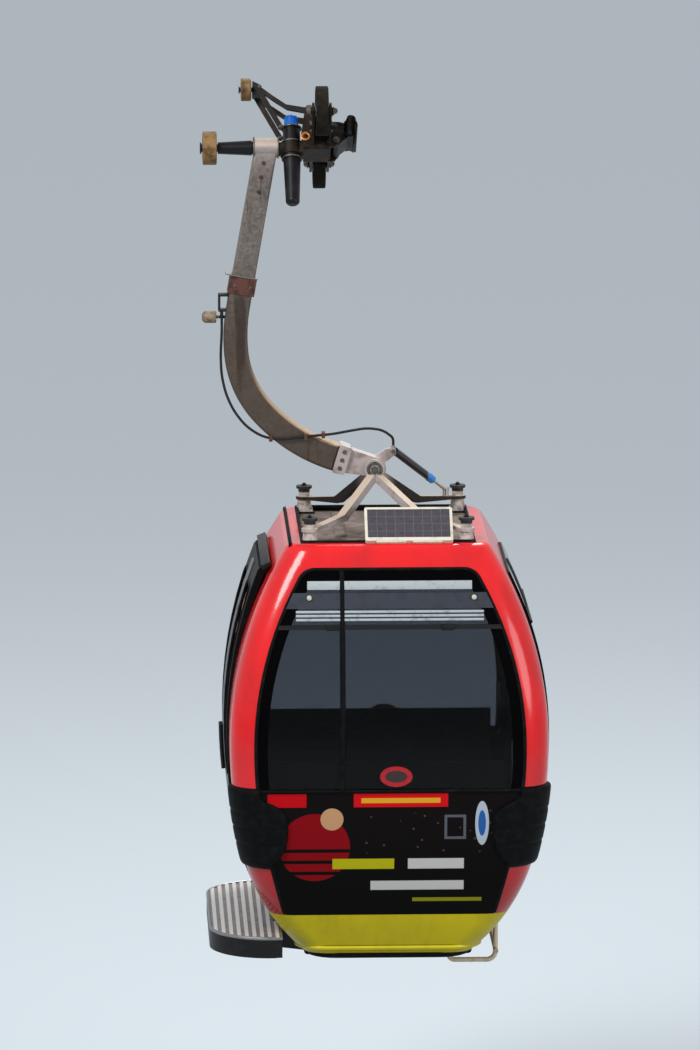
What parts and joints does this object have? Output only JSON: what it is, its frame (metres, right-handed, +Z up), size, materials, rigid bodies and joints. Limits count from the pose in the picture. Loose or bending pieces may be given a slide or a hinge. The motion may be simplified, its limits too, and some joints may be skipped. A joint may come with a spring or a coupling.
{
  "type": "cable car cabin",
  "caption": "Barrel-shaped gondola cabin with side doors, step board, hanger arm and a detachable rope grip with running wheels.",
  "frame": {"origin": "the rope's centre in the middle of the grip's jaws", "axes": "+Z up, +Y along the line downhill, +X across the line from the guide roller towards the rope"},
  "size_m": [1.8199, 1.736, 4.6451],
  "materials": {
    "dark_grip_steel": "greasy dark phosphated casting",
    "forged_jaw_steel": "dark forged steel",
    "black_shaft_steel": "satin black paint",
    "blue_plastic": "moulded blue cap",
    "running_wheel_rubber": "worn black rubber",
    "amber_polyurethane": "cast polyurethane",
    "weathered_galvanised_steel": "weathered hot-dip galvanising",
    "light_cast_steel": "light grey galvanised casting",
    "mount_rubber": "rubber mounts with plates",
    "damper_black_paint": "black tube with a blue band",
    "bright_steel": "bright piston rod",
    "black_steel_fitting": "black paint",
    "cable_sheath": "black plastic sheath",
    "red_brown_primer": "red-brown strap",
    "red_gelcoat": "glossy red moulding",
    "yellow_green_gelcoat": "glossy yellow-green moulding",
    "tinted_acrylic": "grey tinted pane",
    "printed_panel_film": "dark film with a plain pattern",
    "black_window_profile": "black profile",
    "weathered_roof_sheet": "weathered grey-brown sheet",
    "black_underbody": "black underbody coating",
    "black_rubber_seal": "black rubber",
    "door_frame_paint": "black door frame",
    "ribbed_floor_rubber": "ribbed rubber floor",
    "seat_shell_plastic": "dark seat shell",
    "ribbed_aluminium": "ribbed aluminium plate",
    "bumper_rubber": "black bumper rubber",
    "guide_bow_galvanised": "galvanised tube",
    "cream_aluminium_frame": "cream coated frame",
    "solar_cells": "dark cells under glass"
  },
  "bodies": {
    "grip": {"grip_frame": "dark_grip_steel", "fixed_jaw": "forged_jaw_steel", "grip_shaft": "black_shaft_steel", "spring_capsule": "black_shaft_steel", "spring_cap": "blue_plastic"},
    "upper_wheel": {"upper_wheel_hub": "dark_grip_steel", "upper_wheel_tyre": "running_wheel_rubber"},
    "lower_wheel": {"lower_wheel_hub": "dark_grip_steel", "lower_wheel_tyre": "running_wheel_rubber"},
    "guide_roller": {"guide_roller_hub": "dark_grip_steel", "guide_roller_tyre": "amber_polyurethane"},
    "grip_lever": {"grip_lever": "dark_grip_steel"},
    "lever_roller": {"lever_roller_hub": "dark_grip_steel", "lever_roller_tyre": "amber_polyurethane"},
    "movable_jaw": {"movable_jaw": "forged_jaw_steel"},
    "hanger": {"arm_clamps": "red_brown_primer", "arm_foot": "light_cast_steel", "bench_front": "seat_shell_plastic", "bench_rear": "seat_shell_plastic", "control_cable": "cable_sheath", "corner_bumpers": "bumper_rubber", "door_actuator": "black_steel_fitting", "door_glass_front": "tinted_acrylic", "door_glass_rear": "tinted_acrylic", "door_jambs": "red_gelcoat", "door_leaf_front": "door_frame_paint", "door_leaf_rear": "door_frame_paint", "door_seal": "black_rubber_seal", "drip_rail": "black_rubber_seal", "floor_pan": "ribbed_floor_rubber", "front_end": "red_gelcoat", "front_glass": "tinted_acrylic", "front_panel": "printed_panel_film", "front_skirt": "yellow_green_gelcoat", "guide_bow": "guide_bow_galvanised", "hanger_arm": "weathered_galvanised_steel", "rear_end": "red_gelcoat", "rear_glass": "tinted_acrylic", "rear_panel": "printed_panel_film", "rear_skirt": "yellow_green_gelcoat", "right_gasket": "black_rubber_seal", "right_glass": "tinted_acrylic", "right_wall": "red_gelcoat", "roll_damper_rod": "bright_steel", "roll_damper_tube": "damper_black_paint", "roof_mounts": "mount_rubber", "roof_pan": "weathered_roof_sheet", "roof_shell": "red_gelcoat", "solar_cells": "solar_cells", "solar_frame": "cream_aluminium_frame", "step_frame": "black_steel_fitting", "step_tread": "ribbed_aluminium", "suspension_yoke": "light_cast_steel", "under_tray": "black_underbody", "underframe": "black_underbody", "window_rails": "black_window_profile"}
  },
  "joints": [
    {"name": "hanger_swing", "type": "hinge", "parent": "grip", "child": "hanger", "pos_m": [-0.441, -0.03442, -0.04915], "axis": [1, 0, 0], "range_deg": [-55, 20]},
    {"name": "upper_wheel_spin", "type": "hinge", "parent": "grip", "child": "upper_wheel", "pos_m": [-0.154, -0.24575, 0.17207], "axis": [1, 0, 0], "continuous": true},
    {"name": "lower_wheel_spin", "type": "hinge", "parent": "grip", "child": "lower_wheel", "pos_m": [-0.154, 0.24575, -0.17207], "axis": [1, 0, 0], "continuous": true},
    {"name": "guide_roller_spin", "type": "hinge", "parent": "grip", "child": "guide_roller", "pos_m": [-0.737, -0.03442, -0.04915], "axis": [1, 0, 0], "continuous": true},
    {"name": "lever_open", "type": "hinge", "parent": "grip", "child": "grip_lever", "pos_m": [-0.212, 0.07055, 0.10076], "axis": [0, 0.8192, -0.5736], "range_deg": [-18, 0]},
    {"name": "lever_roller_spin", "type": "hinge", "parent": "grip_lever", "child": "lever_roller", "pos_m": [-0.541, 0.16347, 0.23346], "axis": [1, 0, 0], "continuous": true},
    {"name": "jaw_open", "type": "hinge", "parent": "grip", "child": "movable_jaw", "pos_m": [-0.075, -0.03556, -0.05079], "axis": [0, 0.8192, -0.5736], "range_deg": [0, 22]}
  ],
  "couplings": [
    {"joint": "jaw_open", "follows": "lever_open", "ratio": -1.2222}
  ]
}
